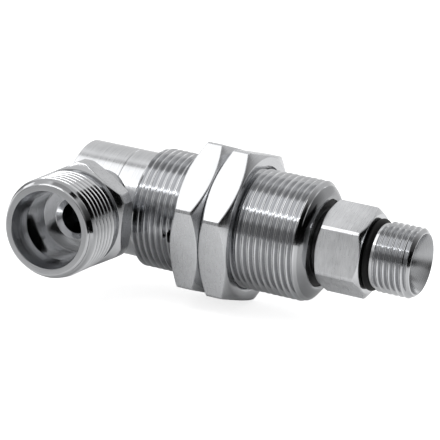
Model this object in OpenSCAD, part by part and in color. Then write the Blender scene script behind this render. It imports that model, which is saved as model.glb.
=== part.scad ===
// Bulkhead swivel joint with a right-angle port, in millimetres, Z up.
// The swivel axis is X. The origin is on that axis, at the middle of the threaded housing.
// The port points along -Y and the stud points along +X.

/* [Housing] */
// Major diameter of the bulkhead thread
housing_thread_d = 36; // [30:0.5:48]
// Left end of the housing along the swivel axis
housing_left_x = -29.4; // [-32:0.1:-22]
// Right end of the housing along the swivel axis
housing_right_x = 26; // [24:0.1:36]
// Length of the cone that closes the right end
nose_length = 2.8; // [1:0.1:5]
// Outer diameter of the end face at the tip of that cone
nose_face_d = 28.6; // [26:0.1:34]
// Bore that holds both bearings
bearing_bore_d = 28; // [26:0.1:30]
// Bore of the wall that stops the right bearing
wall_bore_d = 23.2; // [20:0.1:26]
// Position of the leak hole along the swivel axis
weep_x = -15.4; // [-20:0.1:-12]
// Diameter of the leak hole
weep_d = 4; // [2:0.1:5]
// Turn of the leak hole below the port direction, in degrees
weep_turn = 10; // [-30:1:30]

/* [Jam nuts] */
// Wall of both jam nuts from the crest of the housing thread to a flat
nut_wall = 3.75; // [2:0.25:8]
// Thickness of one jam nut
nut_h = 9.1; // [6:0.1:18]
// Plane between the two jam nuts along the swivel axis
nut_joint_x = -5; // [-12:0.1:6]
// Turn of the left jam nut about the axis, in degrees
left_nut_turn = 13; // [-30:0.5:30]
// Turn of the right jam nut about the axis, in degrees
right_nut_turn = 16.5; // [-30:0.5:30]
// How far the corners of the nuts and of the stem hexagon are turned down
corner_bevel = 0.3; // [0:0.05:1]

/* [Stem] */
// Distance across the flats of the stem hexagon
stem_af = 24; // [22:0.5:32]
// Length of the stem hexagon
stem_hex_l = 14; // [8:0.1:20]
// Gap between the housing and the hexagon
stem_gap = 1.4; // [0.2:0.05:2]
// Turn of the stem hexagon about the axis, in degrees
stem_hex_turn = -6; // [-30:0.5:30]
// Major diameter of the pipe thread on the stud
stud_thread_d = 20.955; // [16:0.005:27]
// Length from the hexagon to the end of the stud
stud_l = 14.6; // [10:0.1:24]
// Through bore of the whole joint
through_d = 9.5; // [6:0.1:12]
// Journal that carries the bearings
journal_d = 15; // [12:0.1:17]
// Journal that runs in the high-pressure seal
seal_journal_d = 14; // [10:0.1:15]

/* [Elbow] */
// Diameter of the round elbow body and of the neck that carries it
elbow_d = 31.8; // [28:0.1:36]
// Left end of the elbow body along the swivel axis
elbow_left_x = -53; // [-60:0.1:-48]
// Plane where the elbow body meets the neck
seam_x = -37; // [-40:0.1:-33]
// Position of the port axis along the swivel axis
port_x = -41.5; // [-46:0.1:-38]

/* [Port] */
// Major diameter of the port thread
port_thread_d = 30; // [24:0.1:36]
// Distance from the swivel axis to the port face
port_reach = 46.3; // [40:0.1:56]
// Distance from the swivel axis to the front of the port hexagon
port_hex_front = 28.8; // [24:0.1:34]
// Length of the port hexagon
port_hex_l = 6.8; // [5:0.1:14]
// Distance across the flats of the port hexagon
port_af = 30; // [26:0.5:36]
// Mouth diameter of the 24 degree cone
cone_mouth_d = 22.9; // [18:0.1:26]
// Diameter of the tube socket
tube_socket_d = 20.1; // [15:0.05:22.2]
// Depth of the socket's flat floor from the port face
port_floor = 16.9; // [12:0.1:20]

/* [Bearings] */
// Width of one ball bearing
bearing_w = 7; // [5:0.1:10]
// Left face of the left bearing
bearing_left_x = -10; // [-12:0.1:-6]
// Right face of the right bearing, where the housing wall starts
bearing_right_x = 20; // [16:0.1:24]
// Ball diameter
ball_d = 3.97; // [2:0.01:5]
// Number of balls in one bearing
ball_count = 12; // [8:1:16]

/* [Hidden] */
$fn = 96;

// Fits
run_c = 0.04;
seat_c = 0.02;
open_c = 0.3;
ball_c = 0.035;
thread_c = 0.05;

// Housing and what sits in it
hr = housing_thread_d / 2;
br = bearing_bore_d / 2;
lip = 0.6;
clip_t = 1.1;
clip_groove = 0.7;
seal_seat_r = 13;
seal_seat_l = 3.6;
collar_r = 9.5;

// Jam nuts
nut_af = housing_thread_d + 2 * nut_wall;

// Neck and seal cartridge
spigot_r = br - seat_c;
spigot_end_x = -18;
cartridge_r = 10;
cartridge_x = -24.6;
tip_x = housing_left_x + 0.1;
tip_room_x = tip_x - 0.6;
cord_r = 0.89;
neck_groove_x = -24.6;
neck_groove_l = 2.5;
socket_r = 10;
socket_l = 4;
seam_break = 0.1;

// Seal stack, from the bottom of the cartridge bore outward
stack_gap = 0.1;
seal_wall = 1.45;
seal_l = 2.9;
backup_l = 1.3;
seal_x = cartridge_x + stack_gap;
backup_x = seal_x + seal_l + stack_gap;
retainer_x = backup_x + backup_l + stack_gap;
energizer_gap = 0.02;

// Stem
jr = journal_d / 2;
sr = seal_journal_d / 2;
tr = through_d / 2;
hex_x = housing_right_x + stem_gap;
stud_x = hex_x + stem_hex_l;
stud_end_x = stud_x + stud_l;
stud_r = stud_thread_d / 2;
o_groove_l = 2.2;
o_groove_r = 8.65;
stud_cord_r = 1;
stud_neck_l = 1;
stud_neck_r = 9.7;
stud_rim_r = 8.9;
stud_lead = 1.05;

// Bearing races
pitch_r = (jr + br) / 2;
ball_r = ball_d / 2;
race_wall = 1.85;
inner_race_r = jr + race_wall;
outer_race_r = br - race_wall;

// Port
pr = port_thread_d / 2;
port_neck_r = 11.2;
port_spigot_r = 7;
port_spigot_end = 7;
port_rim_r = 13.4;
relief_r = 13.2;
relief_l = 2;
floor_lead_r = 6.1;

// Solid of revolution about the swivel axis; each point is [radius, x]
module about_x(points) {
    rotate([0, 90, 0]) rotate_extrude() polygon(points);
}

// Solid of revolution about the port axis; each point is [radius, distance from the swivel axis]
module about_port(points) {
    translate([port_x, 0, 0]) rotate([90, 0, 0]) rotate_extrude() polygon(points);
}

// Plain ring about the swivel axis
module ring(r_in, r_out, x0, x1) {
    about_x([[r_in, x0], [r_out, x0], [r_out, x1], [r_in, x1]]);
}

// Ring with four small chamfers about the swivel axis
module soft_ring(r_in, r_out, x0, x1, c) {
    about_x([[r_in + c, x0], [r_out - c, x0], [r_out, x0 + c], [r_out, x1 - c],
             [r_out - c, x1], [r_in + c, x1], [r_in, x1 - c], [r_in, x0 + c]]);
}

// Hexagonal bar along the swivel axis
module hex_bar(af, x0, x1, turn) {
    rotate([turn, 0, 0]) translate([x0, 0, 0]) rotate([0, 90, 0])
        cylinder(r = af / sqrt(3), h = x1 - x0, $fn = 6);
}

// Round rubber cord ring about the swivel axis
module cord_ring(r_mid, r_cord, x) {
    rotate([0, 90, 0]) rotate_extrude() translate([r_mid, x]) circle(r = r_cord, $fn = 48);
}

module housing() {
    color("lightsteelblue") difference() {
        about_x([
            [br + 0.4, housing_left_x], [hr - lip, housing_left_x], [hr, housing_left_x + lip],
            [hr, housing_right_x - nose_length], [nose_face_d / 2, housing_right_x],
            [seal_seat_r + 0.3, housing_right_x], [seal_seat_r, housing_right_x - 0.3],
            [seal_seat_r, housing_right_x - seal_seat_l], [wall_bore_d / 2, housing_right_x - seal_seat_l],
            [wall_bore_d / 2, bearing_right_x], [br, bearing_right_x],
            [br, bearing_left_x - seat_c],
            [br + clip_groove, bearing_left_x - seat_c],
            [br + clip_groove, bearing_left_x - 2 * seat_c - clip_t],
            [br, bearing_left_x - 2 * seat_c - clip_t], [br, housing_left_x + 0.4]]);
        rotate([weep_turn, 0, 0]) translate([weep_x, 0, 0]) rotate([90, 0, 0])
            cylinder(d = weep_d, h = hr + 2);
    }
}

// Socket for the port fitting, bored after the elbow body and the neck are joined
module port_socket() {
    socket_end = port_spigot_end - 0.1;
    about_port([[0, socket_end], [port_spigot_r + seat_c, socket_end],
                [port_spigot_r + seat_c, elbow_d], [0, elbow_d]]);
}

module elbow_body() {
    color("silver") difference() {
        about_x([[0, elbow_left_x], [elbow_d / 2 - 0.5, elbow_left_x], [elbow_d / 2, elbow_left_x + 0.5],
                 [elbow_d / 2, seam_x - seam_break], [elbow_d / 2 - seam_break, seam_x],
                 [socket_r, seam_x], [socket_r, seam_x + socket_l - 0.4],
                 [socket_r - 0.4, seam_x + socket_l], [0, seam_x + socket_l]]);
        translate([port_x - tr, 0, 0]) rotate([0, 90, 0]) cylinder(r = tr, h = 20);
        about_port([[0, -tr], [tr, -tr], [tr, port_spigot_end], [0, port_spigot_end]]);
        port_socket();
    }
}

module elbow_neck() {
    color("gainsboro") difference() {
        about_x([
            [tr, seam_x + socket_l + 0.1], [socket_r + seat_c, seam_x + socket_l + 0.1],
            [socket_r + seat_c, seam_x], [elbow_d / 2 - seam_break, seam_x], [elbow_d / 2, seam_x + seam_break],
            [elbow_d / 2, housing_left_x - 0.6], [elbow_d / 2 - 0.4, housing_left_x - seat_c],
            [spigot_r, housing_left_x - seat_c],
            [spigot_r, neck_groove_x - neck_groove_l / 2],
            [spigot_r - 2 * cord_r, neck_groove_x - neck_groove_l / 2],
            [spigot_r - 2 * cord_r, neck_groove_x + neck_groove_l / 2],
            [spigot_r, neck_groove_x + neck_groove_l / 2],
            [spigot_r, spigot_end_x - 0.5], [spigot_r - 0.5, spigot_end_x],
            [cartridge_r, spigot_end_x], [cartridge_r, cartridge_x],
            [sr + open_c, cartridge_x], [sr + open_c, tip_room_x], [tr, tip_room_x]]);
        port_socket();
    }
}

module port_fitting() {
    hex_back = port_hex_front - port_hex_l;
    color("whitesmoke") difference() {
        union() {
            about_port([[0, port_spigot_end], [port_spigot_r - 0.4, port_spigot_end],
                        [port_spigot_r, port_spigot_end + 0.4], [port_spigot_r, hex_back], [0, hex_back]]);
            difference() {
                about_port([[0, elbow_d / 4], [port_neck_r, elbow_d / 4],
                            [port_neck_r, port_hex_front - 0.5], [0, port_hex_front - 0.5]]);
                rotate([0, 90, 0]) cylinder(r = elbow_d / 2 + seat_c, h = 200, center = true);
            }
            intersection() {
                translate([port_x, -port_hex_front, 0]) rotate([-90, 0, 0]) rotate([0, 0, 30])
                    cylinder(r = port_af / sqrt(3), h = port_hex_l, $fn = 6);
                about_port([[0, hex_back], [port_af / 2 + 0.2, hex_back], [port_af / 2 + 1.5, hex_back + 0.75],
                            [port_af / 2 + 1.5, port_hex_front - 1.1], [port_af / 2 - 0.4, port_hex_front],
                            [0, port_hex_front]]);
            }
            about_port([
                [0, port_hex_front - 0.5], [relief_r, port_hex_front - 0.5],
                [relief_r, port_hex_front + relief_l - 0.8],
                [pr, port_hex_front + relief_l + 1], [pr, port_reach - (pr - port_rim_r)],
                [port_rim_r, port_reach], [0, port_reach]]);
        }
        about_port([
            [0, 0], [tr, 0], [tr, port_reach - port_floor - (floor_lead_r - tr)],
            [floor_lead_r, port_reach - port_floor], [tube_socket_d / 2, port_reach - port_floor],
            [tube_socket_d / 2, port_reach - (cone_mouth_d - tube_socket_d) / 2 / tan(12)],
            [cone_mouth_d / 2, port_reach], [cone_mouth_d / 2, port_reach + 1], [0, port_reach + 1]]);
    }
}

// One thin hexagon nut with a turned chamfer on both faces
module jam_nut(x0, turn) {
    face_r = nut_af / 2 - 0.5;
    run = nut_af / sqrt(3) - corner_bevel - face_r;
    intersection() {
        difference() {
            hex_bar(nut_af, x0, x0 + nut_h, turn);
            about_x([[0, x0 - 1], [hr + thread_c + 0.7, x0 - 1], [hr + thread_c + 0.7, x0],
                     [hr + thread_c, x0 + 0.7], [hr + thread_c, x0 + nut_h - 0.7],
                     [hr + thread_c + 0.7, x0 + nut_h], [hr + thread_c + 0.7, x0 + nut_h + 1],
                     [0, x0 + nut_h + 1]]);
        }
        about_x([[0, x0], [face_r, x0], [face_r + run, x0 + run * tan(30)],
                 [face_r + run, x0 + nut_h - run * tan(30)], [face_r, x0 + nut_h], [0, x0 + nut_h]]);
    }
}

module left_jam_nut() {
    color("darkgray") jam_nut(nut_joint_x - 0.05 - nut_h, left_nut_turn);
}

module right_jam_nut() {
    color("gray") jam_nut(nut_joint_x + 0.05, right_nut_turn);
}

module stem() {
    face_r = stem_af / 2 - 0.3;
    run = stem_af / sqrt(3) - corner_bevel - face_r;
    color("steelblue") difference() {
        union() {
            about_x([
                [0, tip_x], [sr - 0.5, tip_x], [sr, tip_x + 0.9], [sr, bearing_left_x - 2.6],
                [jr, bearing_left_x - 2.1], [jr, bearing_left_x - 2 * seat_c - clip_t],
                [jr - 0.35, bearing_left_x - 2 * seat_c - clip_t], [jr - 0.35, bearing_left_x - seat_c],
                [jr, bearing_left_x - seat_c], [jr, bearing_right_x + seat_c],
                [collar_r, bearing_right_x + seat_c], [collar_r, hex_x + 0.5], [0, hex_x + 0.5]]);
            intersection() {
                hex_bar(stem_af, hex_x, stud_x, stem_hex_turn);
                about_x([[0, hex_x], [face_r, hex_x], [face_r + run, hex_x + run * tan(30)],
                         [face_r + run, stud_x - run * tan(30)], [face_r, stud_x], [0, stud_x]]);
            }
            about_x([
                [0, stud_x - 0.5], [o_groove_r, stud_x - 0.5], [o_groove_r, stud_x + o_groove_l],
                [stud_neck_r, stud_x + o_groove_l], [stud_neck_r, stud_x + o_groove_l + stud_neck_l],
                [stud_r, stud_x + o_groove_l + stud_neck_l + 0.5],
                [stud_r, stud_end_x - stud_lead], [stud_r - stud_lead, stud_end_x], [0, stud_end_x]]);
        }
        about_x([[0, tip_x - 1], [tr, tip_x - 1], [tr, stud_end_x - (stud_rim_r - tr) / tan(30)],
                 [stud_rim_r, stud_end_x], [stud_rim_r, stud_end_x + 1], [0, stud_end_x + 1]]);
    }
}

module stud_o_ring() {
    color("black") cord_ring(o_groove_r + stud_cord_r + seat_c, stud_cord_r, stud_x + o_groove_l / 2);
}

module dust_seal() {
    x0 = housing_right_x - seal_seat_l + seat_c;
    x1 = housing_right_x - 0.6;
    color("dimgray") about_x([
        [collar_r + 1.6, x0], [seal_seat_r - seat_c, x0], [seal_seat_r - seat_c, x1],
        [collar_r + 0.9, x1], [collar_r + run_c, x1 - 0.3], [collar_r + run_c, x1 - 1.1],
        [collar_r + 1, x1 - 1.7], [collar_r + 1.6, x1 - 1.9]]);
}

module neck_o_ring() {
    color("black") cord_ring(spigot_r - cord_r, cord_r - 0.005, neck_groove_x);
}

module pressure_seal() {
    color("ivory") soft_ring(sr + run_c, sr + seal_wall, seal_x, seal_x + seal_l, 0.25);
}

module seal_energizer() {
    r_in = sr + seal_wall + energizer_gap;
    r_out = cartridge_r - energizer_gap;
    color("black") cord_ring((r_in + r_out) / 2, (r_out - r_in) / 2, seal_x + seal_l / 2);
}

module backup_ring() {
    color("tan") soft_ring(sr + 2 * run_c, cartridge_r - seat_c, backup_x, backup_x + backup_l, 0.1);
}

module seal_retainer() {
    color("khaki") soft_ring(sr + open_c, cartridge_r - seat_c, retainer_x, spigot_end_x, 0.2);
}

// Outer race of a ball bearing whose left face is at x0
module outer_race(x0) {
    difference() {
        soft_ring(outer_race_r, br - seat_c, x0 + seat_c, x0 + bearing_w - seat_c, 0.2);
        cord_ring(pitch_r, ball_r + ball_c, x0 + bearing_w / 2);
    }
}

// Inner race of a ball bearing whose left face is at x0
module inner_race(x0) {
    difference() {
        soft_ring(jr + seat_c, inner_race_r, x0 + seat_c, x0 + bearing_w - seat_c, 0.2);
        cord_ring(pitch_r, ball_r + ball_c, x0 + bearing_w / 2);
    }
}

module balls(x0) {
    for (k = [0 : ball_count - 1])
        rotate([k * 360 / ball_count, 0, 0]) translate([x0 + bearing_w / 2, pitch_r, 0])
            sphere(r = ball_r, $fn = 48);
}

module cage(x0) {
    difference() {
        ring(pitch_r - 0.85, pitch_r + 0.85, x0 + 0.9, x0 + bearing_w - 0.9);
        for (k = [0 : ball_count - 1])
            rotate([k * 360 / ball_count - 90, 0, 0]) translate([x0 + bearing_w / 2, 0, pitch_r - 2])
                cylinder(r = ball_r + 0.08, h = 4);
    }
}

module left_outer_race() { color("slategray") outer_race(bearing_left_x); }
module left_inner_race() { color("lightslategray") inner_race(bearing_left_x); }
module left_balls() { color("gold") balls(bearing_left_x); }
module left_cage() { color("peru") cage(bearing_left_x); }
module right_outer_race() { color("slategray") outer_race(bearing_right_x - bearing_w); }
module right_inner_race() { color("lightslategray") inner_race(bearing_right_x - bearing_w); }
module right_balls() { color("gold") balls(bearing_right_x - bearing_w); }
module right_cage() { color("peru") cage(bearing_right_x - bearing_w); }

module outer_spacer() {
    color("cadetblue") ring(br - 1.7, br - seat_c, bearing_left_x + bearing_w, bearing_right_x - bearing_w);
}

module inner_spacer() {
    color("cadetblue") ring(jr + seat_c, jr + 1.6, bearing_left_x + bearing_w, bearing_right_x - bearing_w);
}

// Spring ring that snaps into the groove of the housing bore, with two eared ends
module housing_circlip() {
    color("darkslategray") translate([bearing_left_x - 1.5 * seat_c - clip_t, 0, 0]) rotate([0, 90, 0])
        linear_extrude(height = clip_t) difference() {
            union() {
                difference() {
                    circle(r = br + clip_groove - 0.1);
                    circle(r = br - 1.3);
                }
                intersection() {
                    difference() {
                        circle(r = br - 1);
                        circle(r = br - 2.6);
                    }
                    polygon([[0, 0], [16, 6], [16, -6]]);
                }
            }
            polygon([[0, 0], [16, 2], [16, -2]]);
            rotate([0, 0, 14]) translate([br - 1.5, 0]) circle(d = 0.9, $fn = 32);
            rotate([0, 0, -14]) translate([br - 1.5, 0]) circle(d = 0.9, $fn = 32);
        }
}

// Spring ring that snaps into the groove of the stem, with two eared ends
module stem_circlip() {
    color("darkslategray") translate([bearing_left_x - 1.5 * seat_c - clip_t, 0, 0]) rotate([0, 90, 0])
        linear_extrude(height = clip_t) difference() {
            union() {
                difference() {
                    circle(r = jr + 1.3);
                    circle(r = jr - 0.3);
                }
                intersection() {
                    circle(r = jr + 3);
                    polygon([[jr - 0.2, 0], [11, 5], [11, -5]]);
                }
            }
            polygon([[0, 0], [16, 3], [16, -3]]);
            rotate([0, 0, 17.5]) translate([jr + 1.9, 0]) circle(d = 0.8, $fn = 32);
            rotate([0, 0, -17.5]) translate([jr + 1.9, 0]) circle(d = 0.8, $fn = 32);
        }
}

housing();
elbow_body();
elbow_neck();
port_fitting();
left_jam_nut();
right_jam_nut();
stem();
stud_o_ring();
dust_seal();
neck_o_ring();
pressure_seal();
seal_energizer();
backup_ring();
seal_retainer();
left_outer_race();
left_inner_race();
left_balls();
left_cage();
right_outer_race();
right_inner_race();
right_balls();
right_cage();
outer_spacer();
inner_spacer();
housing_circlip();
stem_circlip();
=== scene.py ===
import math

import bmesh
import bpy
import numpy as np
from mathutils import Matrix, Vector


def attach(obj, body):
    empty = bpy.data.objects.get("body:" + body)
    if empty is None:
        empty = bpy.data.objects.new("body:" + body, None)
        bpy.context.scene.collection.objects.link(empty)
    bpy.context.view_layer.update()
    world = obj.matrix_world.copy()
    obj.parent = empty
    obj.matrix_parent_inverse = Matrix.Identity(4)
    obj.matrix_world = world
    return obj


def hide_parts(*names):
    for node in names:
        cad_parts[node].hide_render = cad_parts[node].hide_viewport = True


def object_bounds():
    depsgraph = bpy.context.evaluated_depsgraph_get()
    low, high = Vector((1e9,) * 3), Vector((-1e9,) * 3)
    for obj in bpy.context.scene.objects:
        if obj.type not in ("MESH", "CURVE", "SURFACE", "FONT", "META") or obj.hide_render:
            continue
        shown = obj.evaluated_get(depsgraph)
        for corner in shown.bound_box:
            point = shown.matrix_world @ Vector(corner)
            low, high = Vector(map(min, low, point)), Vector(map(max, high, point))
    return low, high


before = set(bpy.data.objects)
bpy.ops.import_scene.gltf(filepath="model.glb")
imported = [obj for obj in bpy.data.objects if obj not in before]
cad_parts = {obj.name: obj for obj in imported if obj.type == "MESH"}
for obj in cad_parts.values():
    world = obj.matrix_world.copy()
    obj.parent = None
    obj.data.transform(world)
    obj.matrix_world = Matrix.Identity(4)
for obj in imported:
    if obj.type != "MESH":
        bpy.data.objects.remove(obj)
cad_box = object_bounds()


# Elbow body
# The round body that turns the flow through a right angle, turned from
# stainless bar. A spigot on its right end is pressed into the neck.
MM = 0.001
SWIVEL_AXIS = 0
SWIVEL_CENTRE = (0, 0, 0)
# A Mix node's colour sockets go by number, because their names repeat
MIX_FROM, MIX_TO, MIX_RESULT = 6, 7, 2
# Noise stays near the middle of 0 to 1, so a pattern uses only the stretch between two ends
CLOUD_ENDS = {"From Min": 0.3, "From Max": 0.7}
RING_ENDS = {"From Min": 0.25, "From Max": 0.75}
# How wide the clouds on turned metal are, and the fade at the edge of the painted shade on a cone, in mm
CLOUD_SIZE = 9
CONE_SHADE_FADE = 0.15
# How strongly rings enter the colour, and how many times closer they lie on a face than along a bar
RING_CONTRAST = 2.4
FACE_RATIO = 1.7
# The lowest and highest share of a turned surface's roughness
TURNED_GLOSS = (0.75, 1.3)


def linear(code):
    """An sRGB hex colour as linear red, green, blue and alpha."""
    parts = [int(code[i:i + 2], 16) / 255 for i in (1, 3, 5)]
    levels = [c / 12.92 if c <= 0.04045 else ((c + 0.055) / 1.055) ** 2.4 for c in parts]
    return (*levels, 1.0)


def add(tree, kind, settings, inputs):
    """Adds a node, sets its properties, and sets or links its inputs."""
    made = tree.nodes.new(kind)
    for key, value in settings.items():
        setattr(made, key, value)
    for key, value in inputs.items():
        if isinstance(value, bpy.types.NodeSocket):
            tree.links.new(value, made.inputs[key])
        else:
            made.inputs[key].default_value = value
    return made


def blank(name):
    """A new material with an empty node tree and its object coordinates in metres."""
    made = bpy.data.materials.new(name)
    made.use_nodes = True
    made.node_tree.nodes.clear()
    where = add(made.node_tree, "ShaderNodeTexCoord", {}, {})
    return made, made.node_tree, where.outputs["Object"]


def close_surface(tree, colour, rough, bump, metallic=1.0, specular=0.5):
    """Ends a material's tree with its colour, roughness and bump. specular counts where metallic is 0."""
    shader = add(tree, "ShaderNodeBsdfPrincipled", {},
                 {"Base Color": colour, "Metallic": metallic, "Roughness": rough, "Normal": bump,
                  "Specular IOR Level": specular})
    add(tree, "ShaderNodeOutputMaterial", {}, {"Surface": shader.outputs[0]})


def turned(name, light, dark, rough, axis, centre, feed, depth, root_shade=None, cone_shade=None):
    """Turned metal. The tool leaves rings, so the pattern changes only along the profile, with the place
    along the axis and the distance from it. Real feed marks, about 0.1 mm apart, are too fine to show, so
    feed is wider. centre, feed and depth are in mm. On a thread, root_shade is the crest radius, the root
    radius and the colour of painted shade at the root, and cone_shade is the radius and the colour of
    painted shade on a cone at its end."""
    made, tree, where = blank(name)
    across = tuple(0.0 if i == axis else 1.0 for i in range(3))
    local = add(tree, "ShaderNodeVectorMath", {"operation": "SUBTRACT"},
                {0: where, 1: tuple(c * MM for c in centre)})
    flat = add(tree, "ShaderNodeVectorMath", {"operation": "MULTIPLY"}, {0: local.outputs[0], 1: across})
    distance = add(tree, "ShaderNodeVectorMath", {"operation": "LENGTH"}, {0: flat.outputs[0]})
    radius = distance.outputs["Value"]
    parts = add(tree, "ShaderNodeSeparateXYZ", {}, {0: local.outputs[0]})
    along = add(tree, "ShaderNodeMath", {"operation": "MULTIPLY_ADD"},
                {0: radius, 1: FACE_RATIO, 2: parts.outputs[axis]})
    rings = add(tree, "ShaderNodeTexNoise", {"noise_dimensions": "1D"},
                {"W": along.outputs[0], "Scale": 1 / (feed * MM), "Detail": 2.0, "Roughness": 0.6})
    cloud = add(tree, "ShaderNodeTexNoise", {},
                {"Vector": where, "Scale": 1 / (CLOUD_SIZE * MM), "Detail": 3.0})
    tone = add(tree, "ShaderNodeMapRange", {}, {"Value": cloud.outputs["Fac"], **CLOUD_ENDS})
    line = add(tree, "ShaderNodeMath", {"operation": "MULTIPLY_ADD"},
               {0: rings.outputs["Fac"], 1: RING_CONTRAST, 2: -RING_CONTRAST / 2})
    blend = add(tree, "ShaderNodeMath", {"operation": "ADD", "use_clamp": True},
                {0: line.outputs[0], 1: tone.outputs["Result"]})
    colour = add(tree, "ShaderNodeMix", {"data_type": "RGBA"},
                 {"Factor": blend.outputs[0], MIX_FROM: linear(dark), MIX_TO: linear(light)})
    # Painted shade: the colour darkens from the crest radius down to the root radius
    if root_shade:
        crest_r, root_r, root_shade_colour = root_shade
        crest = add(tree, "ShaderNodeMapRange", {},
                    {"Value": radius, "From Min": root_r * MM, "From Max": crest_r * MM})
        colour = add(tree, "ShaderNodeMix", {"data_type": "RGBA"},
                     {"Factor": crest.outputs["Result"], MIX_FROM: linear(root_shade_colour),
                      MIX_TO: colour.outputs[MIX_RESULT]})
    # Painted shade: a darker colour on the cone at the end, below its radius
    if cone_shade:
        cone_r, cone_shade_colour = cone_shade
        above = add(tree, "ShaderNodeMapRange", {},
                    {"Value": radius, "From Min": (cone_r - CONE_SHADE_FADE) * MM, "From Max": cone_r * MM})
        colour = add(tree, "ShaderNodeMix", {"data_type": "RGBA"},
                     {"Factor": above.outputs["Result"], MIX_FROM: linear(cone_shade_colour),
                      MIX_TO: colour.outputs[MIX_RESULT]})
    gloss = add(tree, "ShaderNodeMapRange", {},
                {"Value": rings.outputs["Fac"], **RING_ENDS,
                 "To Min": rough * TURNED_GLOSS[0], "To Max": rough * TURNED_GLOSS[1]})
    bump = add(tree, "ShaderNodeBump", {},
               {"Strength": 1.0, "Distance": depth * MM, "Height": rings.outputs["Fac"]})
    close_surface(tree, colour.outputs[MIX_RESULT], gloss.outputs["Result"], bump.outputs[0])
    return made


def wear(obj, *materials):
    """Puts materials on an object in slot order. Clearing an empty list would send every face to slot 0."""
    if obj.data.materials:
        obj.data.materials.clear()
    for made in materials:
        obj.data.materials.append(made)


# Finely turned steel: light runs along the bar in bands with slightly soft edges
stainless_turned_body = turned("stainless_steel_fine_turned", "#d7d8da", "#c9cacc", 0.17,
                               SWIVEL_AXIS, SWIVEL_CENTRE, 0.5, 0.0006)
wear(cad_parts["elbow_body"], stainless_turned_body)


# Elbow neck
# A plain turned sleeve of the same bar between the elbow body and the
# housing; only a hairline shows where it meets the elbow body.
wear(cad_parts["elbow_neck"], stainless_turned_body)


# Port fitting
# A hexagon nipple with an M30 x 2 thread and a 24 degree cone for 20 mm
# tube, milled and turned from stainless bar and fixed in the elbow body.
PORT_AXIS = 1
PORT_X = -41.5
PORT_CENTRE = (PORT_X, 0, 0)
PORT_BORE_R = 4.75
PORT_SHANK_R = 11.2
PORT_AF = 30.0
PORT_CORNER = 30
PORT_BEVEL = 0.82
HEX_BACK_R = 15.2
HEX_FRONT_R = 14.4
UNDERCUT_R = 13.2
PORT_THREAD_R = 14.86
THREAD_END_R = 13.6
RIM_R = 13.4
RIM_CHAMFER = (0.2, 0.25)
CONE_MOUTH_R = 11.5
SOCKET_R = 10.05
BORE_LIP_R = 6.1
# The least that the hexagon's sides stand over the chamfer on its back
BACK_STEP = 0.2
# Places along the port's axis, out from the swivel axis
PORT_FOOT = 9.0
PORT_HEX = (22.0, 28.8)
UNDERCUT = 1.4
BORE_LIP = 28.05
SOCKET_FLOOR = 29.4
CONE_FOOT = 39.71
PORT_REACH = 46.3
# How far from the hexagon and the face the port's thread is whole, how far from the face it ends, and
# where a crest lies
PORT_RUN_IN = 3.2
PORT_RUN_OUT = 2.9
PORT_THREAD_GAP = 0.6
PORT_PHASE = 0.6
# The tangent of a chamfer's 30 degrees, and of the port's flatter front one
CHAMFER = 0.577
FRONT_CHAMFER = 0.55
# Threads: pitch and depth in mm, and the shares of the pitch that are crest, root and soft corner
METRIC_THREAD = {"pitch": 2.0, "depth": 1.227, "flats": (0.125, 0.17, 0.03)}
PIPE_THREAD = {"pitch": 1.814, "depth": 1.162, "flats": (0.14, 0.14, 0.07)}
# A limit this much above the crests leaves them whole
CREST_ROOM = 0.01
# One pitch of a thread as shares of the pitch from the crest, up to the middle of the root
THREAD_STEPS = (0, 0.045, 0.085, 0.13, 0.25, 0.37, 0.42, 0.46)
# A rounding takes at most this share of the way to the next point
ROUND_SHARE = 0.45
# Points closer than WELD metres are one, edges under THINNEST go, and bends over SHARP degrees stay sharp
WELD = 2e-6
THINNEST = 1e-6
SHARP = 38
# The width in mm of clouds on milled flats, how strongly scratches enter the colour, and the lowest and
# highest share of the roughness
MILL_CLOUD = 4
SCRATCH_CONTRAST = 1.6
FLAT_GLOSS = (0.85, 1.15)


def rounded(points, steps=3):
    """Rounds the corners of a profile. Each point is (axial, radius, rounding), all in mm. A point with no
    rounding gives one row, and any other gives steps + 1."""
    out = []
    for i, (x, r, size) in enumerate(points):
        if not size:
            out.append((x, r))
            continue
        here = np.array([x, r])
        before = np.array(points[i - 1][:2]) - here
        after = np.array(points[(i + 1) % len(points)][:2]) - here
        reach = min(size, ROUND_SHARE * np.hypot(*before), ROUND_SHARE * np.hypot(*after))
        start = here + before / max(np.hypot(*before), 1e-9) * reach
        end = here + after / max(np.hypot(*after), 1e-9) * reach
        for k in range(steps + 1):
            t = k / steps
            out.append(tuple((1 - t) ** 2 * start + 2 * t * (1 - t) * here + t * t * end))
    return out


def ways_round(corner=None, half=0.0, count=144):
    """Angles round an axis in degrees. With a hexagon corner given, extra ones stand on both sides of each
    corner's bevel, which reaches half degrees to each side."""
    if corner is None:
        return np.arange(count) * 360.0 / count
    # One angle inside the bevel and the others close to its end, with the even ones kept clear of them
    beside = np.array([half * 0.4, half - 0.1, half + 0.1, half + 0.3])
    base = np.arange(count) * 360.0 / count + corner
    far = np.abs((base - corner + 30) % 60 - 30) > half + 0.5
    near = (np.arange(6)[:, None] * 60 + corner + np.concatenate([-beside, beside])[None]).ravel()
    return np.sort(np.concatenate([base[far], near]) % 360)


def hex_radius(angle, corner, flats, bevel):
    """Distance from the axis to the side of a hexagon bar whose corners are turned down by bevel."""
    off = abs((angle - corner + 30) % 60 - 30)
    return min(flats / 2 / math.cos(math.radians(30 - off)), flats / math.sqrt(3) - bevel)


def bevel_half(flats, bevel):
    """Half the width of such a turned corner, in degrees."""
    return 30 - math.degrees(math.acos(flats / 2 / (flats / math.sqrt(3) - bevel)))


def thread_depth(share, crest_flat, root_flat, soft):
    """How deep a thread is at a share of its pitch from a crest, from 0 to 1, with soft crest and root."""
    t = min(share % 1, 1 - share % 1)
    run = 0.5 - crest_flat / 2 - root_flat / 2
    raw = (t - crest_flat / 2) / run
    return 1 - soft * math.log1p(math.exp((1 - soft * math.log1p(math.exp(raw / soft))) / soft))


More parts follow.
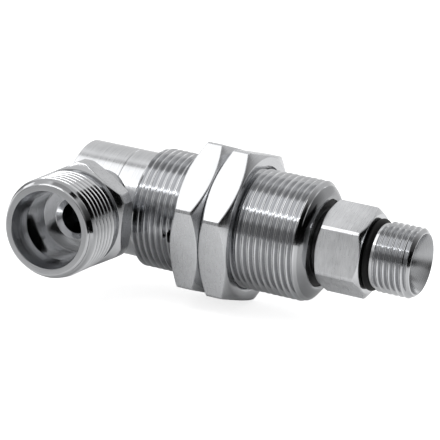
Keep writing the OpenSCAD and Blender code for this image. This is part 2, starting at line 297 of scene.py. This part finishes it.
def thread_rows(angle, start, end, crest, phase, leads, pitch, depth, flats):
    """Profile rows of a right-hand thread at one angle, and how many make one pitch. phase is where a crest
    lies at angle 0. leads limits the radius where the thread runs in and out, as (axial, radius) pairs."""
    shares = list(THREAD_STEPS) + [0.5] + [1 - s for s in THREAD_STEPS[:0:-1]]
    first = math.floor((start - pitch - phase) / pitch) - 1
    last = math.ceil((end + pitch - phase) / pitch) + 1
    xs, rs = zip(*leads)
    out = []
    for n in range(first, last):
        for s in shares:
            x = phase + pitch * (n + s + angle / 360)
            kept = min(max(x, start), end)
            limit = float(np.interp(kept, xs, rs))
            r = crest - depth * thread_depth(s, *flats)
            out.append((kept, limit if kept != x else min(r, limit)))
    return out, len(shares)


def revolve(name, angles, rows_at, bands=()):
    """A closed solid whose profile may differ at each angle. rows_at(angle) gives the rows and, for a
    thread, (first row, last row, rows in one pitch), which join a pitch further on after one turn. bands
    holds the slices of rows that wear slot 1, slot 2 and so on; all other rows wear slot 0."""
    columns, threads = [], []
    for a in angles:
        rows, threads = rows_at(a)
        columns.append(rows)
    n, k = len(columns[0]), len(columns)
    seam = list(range(n))
    for lo, hi, pitch_rows in threads:
        for i in range(lo, hi + 1):
            seam[i] = min(i + pitch_rows, hi)
    slots = np.zeros(n, dtype=int)
    for slot, band in enumerate(bands, start=1):
        slots[band] = slot
    mesh = bpy.data.meshes.new(name)
    bm = bmesh.new()
    grid = []
    for a, rows in zip(angles, columns):
        c, s = math.cos(math.radians(a)), math.sin(math.radians(a))
        grid.append([bm.verts.new((x * MM, r * c * MM, r * s * MM)) for x, r in rows])
    for j in range(k):
        nxt = (j + 1) % k
        turn = seam if nxt == 0 else range(n)
        for i in range(n):
            i2 = (i + 1) % n
            ring = [grid[j][i], grid[j][i2], grid[nxt][turn[i2]], grid[nxt][turn[i]]]
            if len(set(ring)) == 4:
                face = bm.faces.new(ring)
                face.material_index = int(slots[i])
                face.smooth = True
    bmesh.ops.remove_doubles(bm, verts=bm.verts, dist=WELD)
    bmesh.ops.dissolve_degenerate(bm, edges=bm.edges, dist=THINNEST)
    bmesh.ops.recalc_face_normals(bm, faces=bm.faces)
    bm.to_mesh(mesh)
    bm.free()
    mesh.set_sharp_from_angle(angle=math.radians(SHARP))
    made = bpy.data.objects.new(name, mesh)
    bpy.context.scene.collection.objects.link(made)
    return made


def port_rows(angle):
    """Rows of the port fitting: round its outside to the rim, then down the socket and the bore."""
    hex_r = hex_radius(angle, PORT_CORNER, PORT_AF, PORT_BEVEL)
    back, front = PORT_HEX
    outer = rounded([
        (PORT_FOOT, PORT_BORE_R, 0), (PORT_FOOT, PORT_SHANK_R, 0), (back, PORT_SHANK_R, 0),
        (back, min(HEX_BACK_R, hex_r - BACK_STEP), 0.1),
        (back + max(hex_r - HEX_BACK_R, BACK_STEP) * CHAMFER, hex_r, 0.2),
        (front - (hex_r - HEX_FRONT_R) * FRONT_CHAMFER, hex_r, 0.3), (front, HEX_FRONT_R, 0.2),
        (front, UNDERCUT_R, 0), (front + UNDERCUT, UNDERCUT_R, 0)])
    start, end = front + UNDERCUT, PORT_REACH - PORT_THREAD_GAP
    whole = PORT_THREAD_R + CREST_ROOM
    leads = [(start, UNDERCUT_R), (front + PORT_RUN_IN, whole), (PORT_REACH - PORT_RUN_OUT, whole),
             (end, THREAD_END_R)]
    thread, pitch_rows = thread_rows(angle, start, end, PORT_THREAD_R, PORT_PHASE, leads, **METRIC_THREAD)
    inner = rounded([
        (PORT_REACH - RIM_CHAMFER[0], RIM_R, 0), (PORT_REACH, RIM_R - RIM_CHAMFER[1], 0.2),
        (PORT_REACH, CONE_MOUTH_R, 0.15), (CONE_FOOT, SOCKET_R, 0.4), (SOCKET_FLOOR, SOCKET_R, 0.12),
        (SOCKET_FLOOR, BORE_LIP_R, 0.12), (BORE_LIP, PORT_BORE_R, 0)])
    return outer + thread + inner, [(len(outer), len(outer) + len(thread) - 1, pitch_rows)]


def milled(name, light, dark, rough, stretch, depth):
    """Milled or brushed flats: scratches over faint clouds. stretch is how many scratches pass in a
    millimetre along each axis, so they run along the axes with the smallest. They are drawn 0.3 mm apart or
    more, as real ones are too fine to show. depth is in mm."""
    made, tree, where = blank(name)
    scaled = add(tree, "ShaderNodeVectorMath", {"operation": "MULTIPLY"}, {0: where, 1: stretch})
    scratch = add(tree, "ShaderNodeTexNoise", {},
                  {"Vector": scaled.outputs[0], "Scale": 1 / MM, "Detail": 3.0, "Roughness": 0.65})
    cloud = add(tree, "ShaderNodeTexNoise", {},
                {"Vector": where, "Scale": 1 / (MILL_CLOUD * MM), "Detail": 4.0})
    streak = add(tree, "ShaderNodeMath", {"operation": "MULTIPLY_ADD"},
                 {0: scratch.outputs["Fac"], 1: SCRATCH_CONTRAST, 2: -SCRATCH_CONTRAST / 2})
    blend = add(tree, "ShaderNodeMath", {"operation": "ADD", "use_clamp": True},
                {0: streak.outputs[0], 1: cloud.outputs["Fac"]})
    colour = add(tree, "ShaderNodeMix", {"data_type": "RGBA"},
                 {"Factor": blend.outputs[0], MIX_FROM: linear(dark), MIX_TO: linear(light)})
    gloss = add(tree, "ShaderNodeMapRange", {},
                {"Value": scratch.outputs["Fac"], **CLOUD_ENDS,
                 "To Min": rough * FLAT_GLOSS[0], "To Max": rough * FLAT_GLOSS[1]})
    bump = add(tree, "ShaderNodeBump", {},
               {"Strength": 1.0, "Distance": depth * MM, "Height": scratch.outputs["Fac"]})
    close_surface(tree, colour.outputs[MIX_RESULT], gloss.outputs["Result"], bump.outputs[0])
    return made


# Bright turned steel: nearly a mirror, so the room shows as hard light and dark bands
stainless_turned_port = turned("stainless_steel_bright_turned", "#cfd0d2", "#c2c3c5", 0.1,
                               PORT_AXIS, PORT_CENTRE, 0.35, 0.0005)
# Milled steel: satin flats of one even grey each
stainless_milled = milled("stainless_steel_milled_flats", "#d6d7d9", "#babbbd", 0.3, (0.8, 3.0, 3.0), 0.002)
# Cut thread: crests like mirrors, and flanks darkened toward the roots by painted shade, so each turn shows
# a white and a black line
stainless_port_thread = turned("stainless_steel_port_thread", "#e2e3e5", "#d6d7d9", 0.1,
                               PORT_AXIS, PORT_CENTRE, 0.35, 0.0005, root_shade=(14.75, 14.3, "#b4b5b7"))
# Fine turned seat: a soft sweep from light to dark round the cone
stainless_seat = turned("stainless_steel_cone_seat", "#d2d3d5", "#c6c7c9", 0.2,
                        PORT_AXIS, PORT_CENTRE, 0.3, 0.0008)
# Reamed socket: its floor and wall mirror each other and the dark room in front
stainless_reamed = turned("stainless_steel_reamed_satin", "#d0d1d3", "#c4c5c7", 0.12,
                          PORT_AXIS, PORT_CENTRE, 0.3, 0.0005)
# Faced rim: a flat grey ring, duller than all round it
stainless_rim = turned("stainless_steel_faced_rim", "#b4b5b7", "#a8a9ab", 0.22,
                       PORT_AXIS, PORT_CENTRE, 0.3, 0.001)

first_row, last_row = port_rows(0)[1][0][:2]
port_flats = slice(8, 13)
port_thread = slice(first_row, last_row)
rim = slice(last_row + 5, last_row + 8)
cone_seat = slice(last_row + 8, last_row + 12)
socket = slice(last_row + 12, None)
port = revolve("port_nipple", ways_round(PORT_CORNER, bevel_half(PORT_AF, PORT_BEVEL)), port_rows,
               (port_flats, port_thread, cone_seat, socket, rim))
wear(port, stainless_turned_port, stainless_milled, stainless_port_thread, stainless_seat, stainless_reamed,
     stainless_rim)
port.data.transform(Matrix.Translation((PORT_X * MM, 0, 0)) @ Matrix.Rotation(math.radians(-90), 4, "Z"))
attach(port, "housing_group")
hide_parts("port_fitting")


# Housing
# A tube turned from stainless bar with an M36 x 2 thread over its whole
# length, a cone at the right end and a drilled leak hole.
HOUSING_X = (-29.4, 26.0)
HOUSING_R = 17.98
HOUSING_PHASE = 0.4
MOUTH_R = 14.4
MOUTH_CHAMFER = 0.4
LEFT_FACE_R = 17.0
# Where the thread starts and where it is whole, from the left face
LEAD_START = 0.2
LEAD_START_R = 17.1
LEAD_WHOLE = 0.9
NOSE_X = 23.2
NOSE_R = 14.3
# Where the last turn of the thread has run out into the nose cone
RUN_OUT = 1.2
RUN_OUT_R = 16.4
BEARING_SEAT_R = 14.0
SHAFT_HOLE_R = 11.6
SHAFT_HOLE_X = 20.0
WIPER_SEAT_R = 13.0
WIPER_SEAT_X = 22.4
WIPER_CHAMFER = 0.3
LEAK_X = -15.4
LEAK_R = 2.0
LEAK_TILT = 10.0
DRILL_REACH = (13.2, 20)


def housing_rows(angle):
    """Rows of the housing: over the thread and the nose cone, then back through the bore."""
    left, right = HOUSING_X
    face = [(left, MOUTH_R), (left, LEFT_FACE_R)]
    start, end = left + LEAD_START, NOSE_X + RUN_OUT
    whole = HOUSING_R + CREST_ROOM
    leads = [(start, LEAD_START_R), (left + LEAD_WHOLE, whole), (NOSE_X, whole), (end, RUN_OUT_R)]
    thread, pitch_rows = thread_rows(angle, start, end, HOUSING_R, HOUSING_PHASE, leads, **METRIC_THREAD)
    rest = rounded([
        (right, NOSE_R, 0), (right, WIPER_SEAT_R + WIPER_CHAMFER, 0.1),
        (right - WIPER_CHAMFER, WIPER_SEAT_R, 0), (WIPER_SEAT_X, WIPER_SEAT_R, 0),
        (WIPER_SEAT_X, SHAFT_HOLE_R, 0), (SHAFT_HOLE_X, SHAFT_HOLE_R, 0),
        (SHAFT_HOLE_X, BEARING_SEAT_R, 0), (left + MOUTH_CHAMFER, BEARING_SEAT_R, 0)])
    return face + thread + rest, [(len(face), len(face) + len(thread) - 1, pitch_rows)]


def drill_rows(angle):
    """Rows of a plain pin as wide as the leak hole, which cuts it."""
    near, far = DRILL_REACH
    return [(near, 0), (near, LEAK_R), (far, LEAK_R), (far, 0)], []


def cut(obj, tool):
    """Cuts a tool's solid out of an object and deletes the tool. The cut faces keep the tool's material."""
    change = obj.modifiers.new("cut", "BOOLEAN")
    change.operation = "DIFFERENCE"
    change.solver = "EXACT"
    change.object = tool
    change.material_mode = "TRANSFER"
    graph = bpy.context.evaluated_depsgraph_get()
    made = bpy.data.meshes.new_from_object(obj.evaluated_get(graph))
    obj.modifiers.clear()
    obj.data = made
    bpy.data.objects.remove(tool)


housing = revolve("threaded_housing", ways_round(count=160), housing_rows)
drill = revolve("drill", ways_round(count=48), drill_rows)
drill.matrix_world = (Matrix.Rotation(math.radians(LEAK_TILT), 4, "X")
                      @ Matrix.Translation((LEAK_X * MM, 0, 0))
                      @ Matrix.Rotation(math.radians(-90), 4, "Z"))
bpy.context.view_layer.update()
# Cut thread: bright crests with fine tool lines, flanks darkened toward the roots by painted shade, and a
# nose cone greyed by painted shade
stainless_thread = turned("stainless_steel_cut_thread", "#e6e7e9", "#bcbdbf", 0.12,
                          SWIVEL_AXIS, SWIVEL_CENTRE, 0.4, 0.0006,
                          root_shade=(17.9, 17.35, "#bcbdbf"), cone_shade=(16.7, "#9c9d9f"))
# Painted shade: the wall of the drilled leak hole is coloured near black, so the hole reads as black
leak_hole_shade = turned("stainless_steel_leak_hole_painted_shade", "#3a3a3b", "#242425", 0.4,
                      PORT_AXIS, (LEAK_X, 0, 0), 0.2, 0.003)
wear(housing, stainless_thread)
wear(drill, leak_hole_shade)
cut(housing, drill)
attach(housing, "housing_group")
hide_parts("housing")


# Stem
# The shaft, hexagon and G 1/2 stud in one piece of stainless bar. It runs in
# the bearings; the hexagon's flats are brushed and everything else is turned.
STEM_BORE_R = 4.75
TIP_X = -29.3
TIP_R = 7.0
TIP_CHAMFER = (0.9, 0.5)
JOURNAL_X = -12.1
JOURNAL_R = 7.5
JOURNAL_CHAMFER = 0.5
CLIP_GROOVE_X = (-11.14, -10.02)
CLIP_GROOVE_R = 7.15
SHOULDER_X = 20.02
SHOULDER_R = 9.5
HEX_X = (27.4, 41.4)
HEX_FACE_R = 11.7
STEM_AF = 24.0
# Corners are given in degrees from -Y toward +Z, and angles in the rows run from +Y toward +Z
STEM_CORNER = 180 - 36.0
CORNER_BEVEL = 0.3
RING_GROOVE_R = 8.65
RING_GROOVE_END = 43.6
COLLAR_R = 9.7
COLLAR_GAP = 0.1
STUD_START = 44.6
STUD_END = 56.0
STUD_R = 10.47
STUD_PHASE = 0.2
STUD_START_R = 9.6
STUD_END_R = 9.32
# How far from its start and from the stud's face the thread is whole, and how far from the face it ends
STUD_RUN_IN = 0.6
STUD_RUN_OUT = 1.3
STUD_THREAD_GAP = 0.15
STUD_FACE_R = 9.15
STUD_CONE_R = 8.9
CONE_BOTTOM = 48.81


def stem_rows(angle):
    """Rows of the stem: from the shaft's left tip over the hexagon and the stud, then down the bore."""
    left, right = HEX_X
    hex_r = hex_radius(angle, STEM_CORNER, STEM_AF, CORNER_BEVEL)
    fall = (hex_r - HEX_FACE_R) * CHAMFER
    groove_left, groove_right = CLIP_GROOVE_X
    shaft = rounded([
        (TIP_X, STEM_BORE_R, 0), (TIP_X, TIP_R - TIP_CHAMFER[1], 0.1), (TIP_X + TIP_CHAMFER[0], TIP_R, 0.1),
        (JOURNAL_X - JOURNAL_CHAMFER, TIP_R, 0), (JOURNAL_X, JOURNAL_R, 0),
        (groove_left, JOURNAL_R, 0), (groove_left, CLIP_GROOVE_R, 0),
        (groove_right, CLIP_GROOVE_R, 0), (groove_right, JOURNAL_R, 0), (SHOULDER_X, JOURNAL_R, 0),
        (SHOULDER_X, SHOULDER_R, 0)])
    hexagon = rounded([
        (left, SHOULDER_R, 0), (left, HEX_FACE_R, 0.15), (left + fall, hex_r, 0.25),
        (right - fall, hex_r, 0.25), (right, HEX_FACE_R, 0.15),
        (right, RING_GROOVE_R, 0.1), (RING_GROOVE_END, RING_GROOVE_R, 0.1),
        (RING_GROOVE_END, COLLAR_R, 0.12), (STUD_START - COLLAR_GAP, COLLAR_R, 0)])
    before = shaft + hexagon
    end = STUD_END - STUD_THREAD_GAP
    whole = STUD_R + CREST_ROOM
    leads = [(STUD_START, STUD_START_R), (STUD_START + STUD_RUN_IN, whole), (STUD_END - STUD_RUN_OUT, whole),
             (end, STUD_END_R)]
    thread, pitch_rows = thread_rows(angle, STUD_START, end, STUD_R, STUD_PHASE, leads, **PIPE_THREAD)
    bore = rounded([(STUD_END, STUD_FACE_R, 0), (STUD_END, STUD_CONE_R, 0.1), (CONE_BOTTOM, STEM_BORE_R, 0)])
    return before + thread + bore, [(len(before), len(before) + len(thread) - 1, pitch_rows)]


# Turned steel: chamfers and shaft with slightly soft highlights
stainless_stud = turned("stainless_steel_stud_turned", "#d6d7d9", "#cacbcd", 0.15,
                        SWIVEL_AXIS, SWIVEL_CENTRE, 0.4, 0.0006)
# Brushed steel: flats of even grey with lines that run across the axis
stainless_brushed = milled("stainless_steel_brushed_across", "#ecedef", "#c8c9cb", 0.3,
                           (3.0, 0.25, 0.25), 0.002)
# Cut thread: bright crests, and flanks darkened toward the roots by painted shade
stainless_stud_thread = turned("stainless_steel_stud_thread", "#e6e7e9", "#bcbdbf", 0.12,
                               SWIVEL_AXIS, SWIVEL_CENTRE, 0.4, 0.0006, root_shade=(10.4, 9.95, "#bcbdbf"))
# Satin cone inside the stud, coloured darker than the outside as painted shade in the hollow: one soft fan
# of light and one of shade
stainless_cone_shaded = turned("stainless_steel_cone_satin_shaded", "#b8b9bb", "#a9aaac", 0.25,
                        SWIVEL_AXIS, SWIVEL_CENTRE, 0.3, 0.001)

first_row, last_row = stem_rows(0)[1][0][:2]
stem_flats = slice(22, 29)
stud_thread = slice(first_row, last_row)
stud_cone = slice(last_row + 2, last_row + 6)
stem = revolve("stem_with_stud", ways_round(STEM_CORNER % 60, bevel_half(STEM_AF, CORNER_BEVEL)), stem_rows,
               (stem_flats, stud_thread, stud_cone))
wear(stem, stainless_stud, stainless_brushed, stainless_stud_thread, stainless_cone_shaded)
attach(stem, "stem_group")
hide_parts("stem")


# Seals and bearings
# Hidden inside: two ball bearings with their spacers and snap rings, and the
# slipper seal with its rubber and backup ring in the neck.
def grained(name, colours, rough, grain, depth, metallic=0.0, specular=0.5):
    """A moulded or ground surface with fine even grain. grain and depth are in mm."""
    made, tree, where = blank(name)
    noise = add(tree, "ShaderNodeTexNoise", {}, {"Vector": where, "Scale": 1 / (grain * MM), "Detail": 3.0})
    gloss = add(tree, "ShaderNodeMapRange", {},
                {"Value": noise.outputs["Fac"], **CLOUD_ENDS,
                 "To Min": rough * FLAT_GLOSS[0], "To Max": rough * FLAT_GLOSS[1]})
    shade = add(tree, "ShaderNodeMix", {"data_type": "RGBA"},
                {"Factor": noise.outputs["Fac"], MIX_FROM: linear(colours[0]), MIX_TO: linear(colours[1])})
    bump = add(tree, "ShaderNodeBump", {},
               {"Strength": 1.0, "Distance": depth * MM, "Height": noise.outputs["Fac"]})
    close_surface(tree, shade.outputs[MIX_RESULT], gloss.outputs["Result"], bump.outputs[0],
                  metallic, specular)
    return made


# Moulded rubber: black with only a dull sheen
nitrile_rubber = grained("nitrile_rubber_moulded", ("#050506", "#0c0c0d"), 0.5, 0.4, 0.004, specular=0.2)
# Ground steel: the brightest and smoothest metal here
bearing_steel = grained("bearing_steel_ground", ("#cfd0d2", "#dadbdd"), 0.1, 0.3, 0.0003, metallic=1.0)
# Machined brass: warm and half bright
machined_brass = grained("brass_machined", ("#c9a45a", "#d6b36a"), 0.25, 0.5, 0.001, metallic=1.0)
# Turned plastics: matte, blue-green where filled and ivory where natural
filled_ptfe = grained("filled_ptfe_turned", ("#2c5a5c", "#346668"), 0.5, 0.3, 0.002)
natural_acetal = grained("acetal_turned", ("#ddd8c8", "#e6e2d4"), 0.4, 0.3, 0.001)
# Phosphated steel: nearly black and slightly rough
spring_steel = grained("spring_steel_phosphated", ("#1c1b1a", "#2a2826"), 0.5, 0.3, 0.002, metallic=1.0)

INSIDE = {
    nitrile_rubber: ("neck_o_ring", "seal_energizer", "dust_seal"),
    filled_ptfe: ("pressure_seal",),
    natural_acetal: ("backup_ring",),
    bearing_steel: ("seal_retainer", "outer_spacer", "inner_spacer", "left_outer_race", "left_inner_race",
                    "left_balls", "right_outer_race", "right_inner_race", "right_balls"),
    machined_brass: ("left_cage", "right_cage"),
    spring_steel: ("housing_circlip", "stem_circlip"),
}
for finish, names in INSIDE.items():
    for name in names:
        wear(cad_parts[name], finish)


# Stud O-ring
# A moulded nitrile ring that seals the stud against its port. It fills the
# groove behind the hexagon and shows the mould's fine parting line.
RING_X = 42.5
RING_MIDDLE_R = 9.67
RING_CORD_R = 0.99
CORD_STEPS = 40
FLASH = 0.02


def o_ring_rows(angle):
    """Rows round the ring's cord. The parting line stands out a little on its outer and inner edge."""
    rows = []
    for k in range(CORD_STEPS):
        a = math.radians(k * 360 / CORD_STEPS)
        r = RING_CORD_R + (FLASH if k % (CORD_STEPS // 2) == CORD_STEPS // 4 else 0.0)
        rows.append((RING_X + r * math.cos(a), RING_MIDDLE_R + r * math.sin(a)))
    return rows, []


o_ring = revolve("stud_o_ring_moulded", ways_round(count=120), o_ring_rows)
wear(o_ring, nitrile_rubber)
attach(o_ring, "stem_group")
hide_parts("stud_o_ring")


# Jam nuts
# Two thin hexagon nuts milled and turned from stainless bar, chamfered on
# both faces and run on the housing thread until they lock each other.
NUT_AF = 43.5
NUT_H = 9.1
NUT_JOINT_X = -5.0
NUT_GAP = 0.05
NUT_BORE_R = 18.08
NUT_MOUTH_R = 18.8
NUT_MOUTH_DEPTH = 0.75
NUT_FACE_R = 21.25
LEFT_NUT_CORNER = 180 - 17.0
RIGHT_NUT_CORNER = 180 - 13.5

# Turned steel: chamfers and faces with soft broad highlights
stainless_nut_turned = turned("stainless_steel_nut_chamfer", "#d2d3d5", "#c6c7c9", 0.2,
                              SWIVEL_AXIS, SWIVEL_CENTRE, 0.5, 0.001)
# Milled steel: flats of one even tone each, with lines that barely show
stainless_nut_milled = milled("stainless_steel_nut_flats", "#dcdddf", "#cecfd1", 0.28,
                              (1.6, 0.3, 0.3), 0.0006)
nut_flats = slice(10, 16)


def nut(node, body, left, corner):
    """One nut with its left face at left. corner is the angle of one of its corners, in degrees."""
    def rows_at(angle):
        hex_r = hex_radius(angle, corner, NUT_AF, CORNER_BEVEL)
        right = left + NUT_H
        fall = (hex_r - NUT_FACE_R) * CHAMFER
        rows = rounded([
            (left + NUT_MOUTH_DEPTH, NUT_BORE_R, 0), (left, NUT_MOUTH_R, 0.12), (left, NUT_FACE_R, 0.25),
            (left + fall, hex_r, 0.3), (right - fall, hex_r, 0.3), (right, NUT_FACE_R, 0.25),
            (right, NUT_MOUTH_R, 0.12), (right - NUT_MOUTH_DEPTH, NUT_BORE_R, 0)])
        return rows, []

    angles = ways_round(corner % 60, bevel_half(NUT_AF, CORNER_BEVEL))
    made = revolve(node + "_milled", angles, rows_at, (nut_flats,))
    wear(made, stainless_nut_turned, stainless_nut_milled)
    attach(made, body)
    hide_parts(node)


nut("left_jam_nut", "left_nut", NUT_JOINT_X - NUT_GAP - NUT_H, LEFT_NUT_CORNER)
nut("right_jam_nut", "right_nut", NUT_JOINT_X + NUT_GAP, RIGHT_NUT_CORNER)


# Table
# A matte white board. The camera sees it as near white with the part's soft
# shadow; polished steel sees it paler behind the part than in front of it.
TABLE_HALF = 3.0
BOARD_LIFT = 0.78
BEHIND_LIFT = 0.42
BEHIND_Y = (-0.14, -0.03)
SHADOW_REACH = 0.05
BOARD_GRAIN = 2
scene = bpy.context.scene
scene.view_settings.view_transform = "Standard"

floor_mesh = bpy.data.meshes.new("table")
bm = bmesh.new()
bmesh.ops.create_grid(bm, x_segments=2, y_segments=2, size=TABLE_HALF)
bm.to_mesh(floor_mesh)
bm.free()
floor = bpy.data.objects.new("table", floor_mesh)
floor.location.z = cad_box[0][2]
scene.collection.objects.link(floor)

# Matte board: an even white with the faintest grain
matte_board, tree, where = blank("matte_white_board")
ray = add(tree, "ShaderNodeLightPath", {}, {})
grain = add(tree, "ShaderNodeTexNoise", {}, {"Vector": where, "Scale": 1 / (BOARD_GRAIN * MM)})
board = add(tree, "ShaderNodeMix", {"data_type": "RGBA"},
            {"Factor": grain.outputs["Fac"], MIX_FROM: linear("#e4e4e4"), MIX_TO: linear("#e8e8e8")})
matte = add(tree, "ShaderNodeBsdfDiffuse", {}, {"Color": board.outputs[MIX_RESULT]})
lift = add(tree, "ShaderNodeMath", {"operation": "MULTIPLY"},
           {0: ray.outputs["Is Camera Ray"], 1: BOARD_LIFT})
parts = add(tree, "ShaderNodeSeparateXYZ", {}, {0: where})
behind = add(tree, "ShaderNodeMapRange", {},
             {"Value": parts.outputs["Y"], "From Min": BEHIND_Y[0], "From Max": BEHIND_Y[1],
              "To Min": 0.0, "To Max": BEHIND_LIFT})
open_air = add(tree, "ShaderNodeAmbientOcclusion", {"samples": 8}, {"Distance": SHADOW_REACH})
open_squared = add(tree, "ShaderNodeMath", {"operation": "MULTIPLY"},
                   {0: open_air.outputs["AO"], 1: open_air.outputs["AO"]})
shadowed = add(tree, "ShaderNodeMath", {"operation": "MULTIPLY"},
               {0: behind.outputs[0], 1: open_squared.outputs[0]})
mirrored = add(tree, "ShaderNodeMath", {"operation": "MULTIPLY_ADD"},
               {0: ray.outputs["Is Glossy Ray"], 1: shadowed.outputs[0], 2: lift.outputs[0]})
glow = add(tree, "ShaderNodeEmission", {}, {"Color": linear("#ffffff"), "Strength": mirrored.outputs[0]})
both = add(tree, "ShaderNodeAddShader", {}, {0: matte.outputs[0], 1: glow.outputs[0]})
add(tree, "ShaderNodeOutputMaterial", {}, {"Surface": both.outputs[0]})
wear(floor, matte_board)


# Light tent
# The world is a cloth tent that the camera sees as white. Its front is darker
# than its back, and it has an unlit opening past the stud.
OPENING_WAY = (0.95, 0.05, 0.31)
OPENING_ENDS = {"From Min": 0.6, "From Max": 1.0}
OPENING_LEFT = 0.05
FRONT_TO_BACK = {"From Min": -0.15, "From Max": 0.15}
# Brightness of the tent's front and back: at the foot, at heights between, and at the top
FRONT_TONES = (0.4, ((0.04, 0.28), (0.34, 0.28), (0.44, 0.76)), 0.78)
BACK_TONES = (0.95, ((0.06, 0.74), (0.2, 0.72), (0.7, 0.76), (0.8, 0.9), (0.845, 1.15), (0.865, 1.0),
                     (0.885, 0.45)), 0.5)
world = bpy.data.worlds.new("studio")
scene.world = world
world.use_nodes = True
tree = world.node_tree
tree.nodes.clear()
ray = add(tree, "ShaderNodeLightPath", {}, {})
heading = add(tree, "ShaderNodeTexCoord", {}, {})
parts = add(tree, "ShaderNodeSeparateXYZ", {}, {0: heading.outputs["Generated"]})
sides = []
for foot, between, top in (FRONT_TONES, BACK_TONES):
    side = add(tree, "ShaderNodeValToRGB", {}, {"Fac": parts.outputs["Z"]})
    stops = side.color_ramp.elements
    stops[0].color = (foot, foot, foot, 1)
    stops[1].color = (top, top, top, 1)
    for height, tone in between:
        stops.new(height).color = (tone, tone, tone, 1)
    sides.append(side.outputs["Color"])
depth = add(tree, "ShaderNodeMapRange", {}, {"Value": parts.outputs["Y"], **FRONT_TO_BACK})
tent = add(tree, "ShaderNodeMix", {"data_type": "RGBA"},
           {"Factor": depth.outputs[0], MIX_FROM: sides[0], MIX_TO: sides[1]})
unlit_way = add(tree, "ShaderNodeVectorMath", {"operation": "DOT_PRODUCT"},
                {0: heading.outputs["Generated"], 1: OPENING_WAY})
open_side = add(tree, "ShaderNodeMapRange", {},
                {"Value": unlit_way.outputs["Value"], **OPENING_ENDS,
                 "To Min": 1.0, "To Max": OPENING_LEFT})
soft = add(tree, "ShaderNodeBackground", {},
           {"Color": tent.outputs[MIX_RESULT], "Strength": open_side.outputs[0]})
white = add(tree, "ShaderNodeBackground", {}, {"Color": linear("#ffffff"), "Strength": 1.0})
pick = add(tree, "ShaderNodeMixShader", {},
           {0: ray.outputs["Is Camera Ray"], 1: soft.outputs[0], 2: white.outputs[0]})
add(tree, "ShaderNodeOutputWorld", {}, {"Surface": pick.outputs[0]})


# Lamps
# Weak softboxes over, behind and left of the part. They give the threads'
# crests their row of bright dots and the upper flats their white.
def softbox(name, place, size, power):
    """A soft lamp aimed at the part, its width along the swivel axis. Metres and watts."""
    data = bpy.data.lights.new(name, "AREA")
    data.shape = "RECTANGLE"
    data.size, data.size_y = size
    data.energy = power
    lamp = bpy.data.objects.new(name, data)
    lamp.rotation_mode = "QUATERNION"
    back = Vector(place).normalized()
    along = (Vector((1, 0, 0)) - back * back.x).normalized()
    lamp.location = place
    lamp.rotation_quaternion = Matrix((along, back.cross(along), back)).transposed().to_quaternion()
    lamp.visible_camera = False
    scene.collection.objects.link(lamp)


softbox("softbox_overhead", (-0.30, -0.205, 0.596), (0.5, 0.51), 0.70)
softbox("strip_overhead", (-0.30, -0.396, 0.49), (0.5, 0.03), 0.28)
softbox("softbox_back", (0.17, 0.68, 0.40), (0.24, 0.18), 0.12)
softbox("softbox_left", (-0.66, 0.37, 0.30), (0.24, 0.24), 0.2)


# Black cards
# Felt cards by the camera, past the stud and overhead, which the camera doesn't
# see. They give polished steel its black bands and lines.
FELT_NAP = 1

# Black felt: no shine at all, only a faint nap
black_felt, tree, where = blank("black_felt")
nap = add(tree, "ShaderNodeTexNoise", {}, {"Vector": where, "Scale": 1 / (FELT_NAP * MM)})
dye = add(tree, "ShaderNodeMix", {"data_type": "RGBA"},
          {"Factor": nap.outputs["Fac"], MIX_FROM: linear("#050505"), MIX_TO: linear("#0c0c0c")})
felt = add(tree, "ShaderNodeBsdfDiffuse", {}, {"Color": dye.outputs[MIX_RESULT]})
add(tree, "ShaderNodeOutputMaterial", {}, {"Surface": felt.outputs[0]})


def card(name, place, size):
    """A black card that faces the part, seen only in reflections. Sizes are in metres."""
    mesh = bpy.data.meshes.new(name)
    bm = bmesh.new()
    bmesh.ops.create_grid(bm, x_segments=1, y_segments=1, size=0.5)
    bmesh.ops.scale(bm, vec=(size[0], size[1], 1), verts=bm.verts)
    bm.to_mesh(mesh)
    bm.free()
    made = bpy.data.objects.new(name, mesh)
    made.rotation_mode = "QUATERNION"
    made.location = place
    made.rotation_quaternion = (-Vector(place)).to_track_quat("-Z", "Y")
    made.visible_camera = False
    made.visible_diffuse = False
    made.visible_shadow = False
    scene.collection.objects.link(made)
    wear(made, black_felt)


card("card_camera", (0.31, -0.89, 0.33), (0.48, 0.54))
card("card_right", (0.24, 0.0, 0.03), (0.30, 0.12))
card("card_top", (0.21, 0.06, 0.78), (0.2, 0.2))


# Camera
# A long lens from the front right and a little above, fitted to the edges and
# thread crests of the photograph.
CAMERA_AT = (320.643, -724.941, 221.476)
CAMERA_AZIMUTH = 24.907
CAMERA_ELEVATION = 15.499
CAMERA_ROLL = -5.291
camera_data = bpy.data.cameras.new("camera")
camera_data.sensor_width = 36
camera_data.lens = 228.584
camera_data.shift_x = 0.05216
camera_data.shift_y = -0.00993
camera_data.clip_start = 0.05
camera_data.clip_end = 20
camera = bpy.data.objects.new("camera", camera_data)
azimuth, elevation, roll = (math.radians(a) for a in (CAMERA_AZIMUTH, CAMERA_ELEVATION, CAMERA_ROLL))
reach = math.cos(elevation)
back = Vector((math.sin(azimuth) * reach, -math.cos(azimuth) * reach, math.sin(elevation)))
level = Vector((math.cos(azimuth), math.sin(azimuth), 0))
above = back.cross(level)
up = above * math.cos(roll) + level * math.sin(roll)
right = level * math.cos(roll) - above * math.sin(roll)
turn = Matrix((right, up, back)).transposed().to_4x4()
camera.matrix_world = Matrix.Translation([c * MM for c in CAMERA_AT]) @ turn
scene.collection.objects.link(camera)
scene.camera = camera
